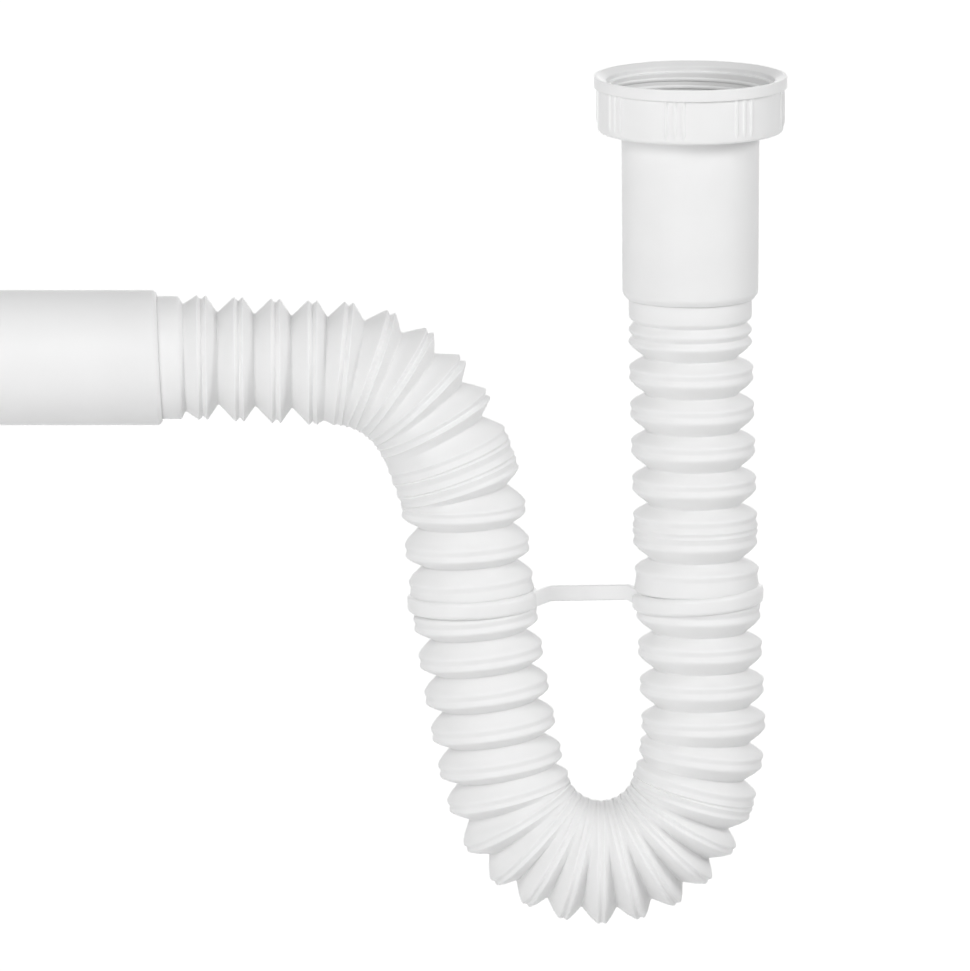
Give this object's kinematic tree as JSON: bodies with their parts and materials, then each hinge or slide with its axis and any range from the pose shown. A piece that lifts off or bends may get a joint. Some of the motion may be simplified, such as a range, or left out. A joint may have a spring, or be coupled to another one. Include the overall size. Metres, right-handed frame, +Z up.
{
  "type": "extendable waste connector",
  "caption": "Flexible waste pipe connector: a bellows hose bent into a trap and held by a clip, with a threaded union nut at the inlet and a push-in spigot at the outlet.",
  "frame": {"origin": "on the union nut's axis, where its thread starts", "axes": "+Z up along the inlet, out of the nut's mouth; the hose lies in the XZ plane and the outlet leaves along -X"},
  "size_m": [0.2443, 0.0572, 0.2539],
  "materials": {
    "nut_plastic": "white injection moulded polypropylene, satin gloss",
    "washer_rubber": "black moulded rubber",
    "pipe_plastic": "white moulded polypropylene, smooth satin gloss",
    "hose_plastic": "white blow moulded polypropylene, thin and slightly waxy",
    "clip_plastic": "white injection moulded polypropylene"
  },
  "bodies": {
    "inlet": {"inlet_sleeve": "pipe_plastic", "sealing_washer": "washer_rubber"},
    "nut": {"union_nut": "nut_plastic"},
    "trap": {"hose": "hose_plastic", "trap_clip": "clip_plastic"},
    "outlet": {"outlet_spigot": "pipe_plastic"}
  },
  "joints": [
    {"name": "nut_turn", "type": "hinge", "parent": "inlet", "child": "nut", "pos_m": [0, 0, 0], "axis": [0, 0, 1], "continuous": true},
    {"name": "inlet_leg_stretch", "type": "slide", "parent": "inlet", "child": "trap", "axis": [0, 0, -1], "range_m": [-0.039, 0.006], "deforming": ["hose"]},
    {"name": "outlet_run_stretch", "type": "slide", "parent": "trap", "child": "outlet", "axis": [-1, 0, 0], "range_m": [-0.022, 0.002], "deforming": ["hose"]}
  ]
}
